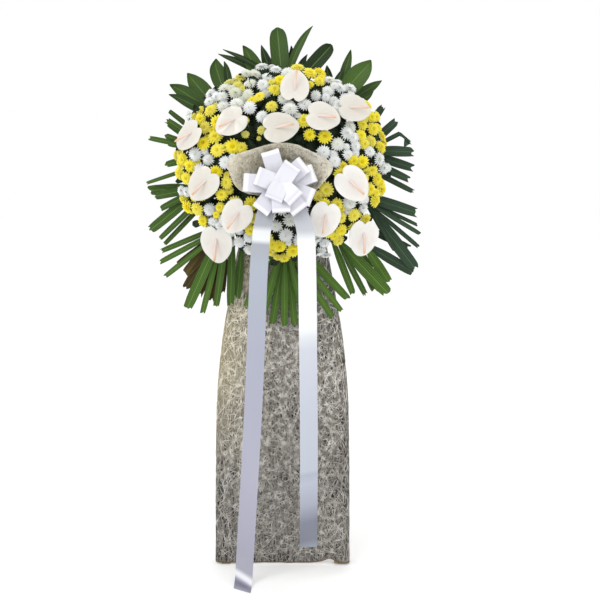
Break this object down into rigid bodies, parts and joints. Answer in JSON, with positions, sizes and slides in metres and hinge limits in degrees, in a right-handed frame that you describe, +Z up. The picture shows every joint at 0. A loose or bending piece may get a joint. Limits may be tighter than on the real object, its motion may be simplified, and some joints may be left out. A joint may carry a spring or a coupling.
{
  "type": "standing funeral spray",
  "caption": "Tall standing flower spray: mums, anthuriums, fronds and leaves in foam on a wooden tripod easel with a fibre skirt, fibre collar, satin bow and two tails.",
  "frame": {"origin": "on the floor, under the middle of the whole object's box", "axes": "+Z up, the flowers face -Y, +X to the viewer's right"},
  "size_m": [0.8488, 0.7524, 1.6599],
  "materials": {
    "batten": "raw sawn timber",
    "plywood": "raw plywood",
    "steel": "zinc plated",
    "floral_foam": "matt open foam, soaked",
    "tray": "satin",
    "pick": "raw wood",
    "fibre_sheet": "open sheet of pressed plant fibre",
    "satin": "satin",
    "spathe": "waxy gloss",
    "yellow_mum": "matt petals",
    "white_mum": "matt petals",
    "frond": "satin leaf",
    "broad_leaf": "satin leaf"
  },
  "bodies": {
    "root": {"leg_front_left": "batten", "leg_front_right": "batten", "leg_rear": "batten", "rail_lower": "batten", "rear_strut": "batten", "head_board": "plywood", "apex_bolt": "steel", "board_screw_left": "steel", "board_screw_right": "steel", "rail_nail_left": "steel", "rail_nail_right": "steel", "strut_nail_front": "steel", "strut_nail_rear": "steel", "foam_block": "floral_foam", "foam_tray": "tray", "bow_pick": "pick", "skirt": "fibre_sheet", "collar": "fibre_sheet", "bow": "satin", "ribbon_tail_left": "satin", "ribbon_tail_right": "satin", "anthurium_01": "spathe", "anthurium_02": "spathe", "anthurium_03": "spathe", "anthurium_04": "spathe", "anthurium_05": "spathe", "anthurium_06": "spathe", "anthurium_07": "spathe", "anthurium_08": "spathe", "anthurium_09": "spathe", "anthurium_10": "spathe", "anthurium_11": "spathe", "anthurium_12": "spathe", "spray_yellow_top": "yellow_mum", "spray_yellow_upper_left": "yellow_mum", "spray_yellow_left": "yellow_mum", "spray_yellow_lower_left": "yellow_mum", "spray_yellow_inner_left": "yellow_mum", "spray_yellow_upper_right": "yellow_mum", "spray_yellow_right": "yellow_mum", "spray_yellow_lower_right": "yellow_mum", "spray_yellow_bottom": "yellow_mum", "spray_white_upper_left": "white_mum", "spray_white_top": "white_mum", "spray_white_upper_right": "white_mum", "spray_white_right": "white_mum", "spray_white_left": "white_mum", "spray_white_lower_left": "white_mum", "spray_white_bottom": "white_mum", "frond_left_upper": "frond", "frond_left_middle": "frond", "frond_left_lower": "frond", "frond_bottom": "frond", "frond_right_lower": "frond", "frond_right_middle": "frond", "frond_right_upper": "frond", "leafy_stem_left": "broad_leaf", "leafy_stem_upper_left": "broad_leaf", "leafy_stem_top": "broad_leaf", "leafy_stem_right": "broad_leaf"}
  },
  "joints": []
}
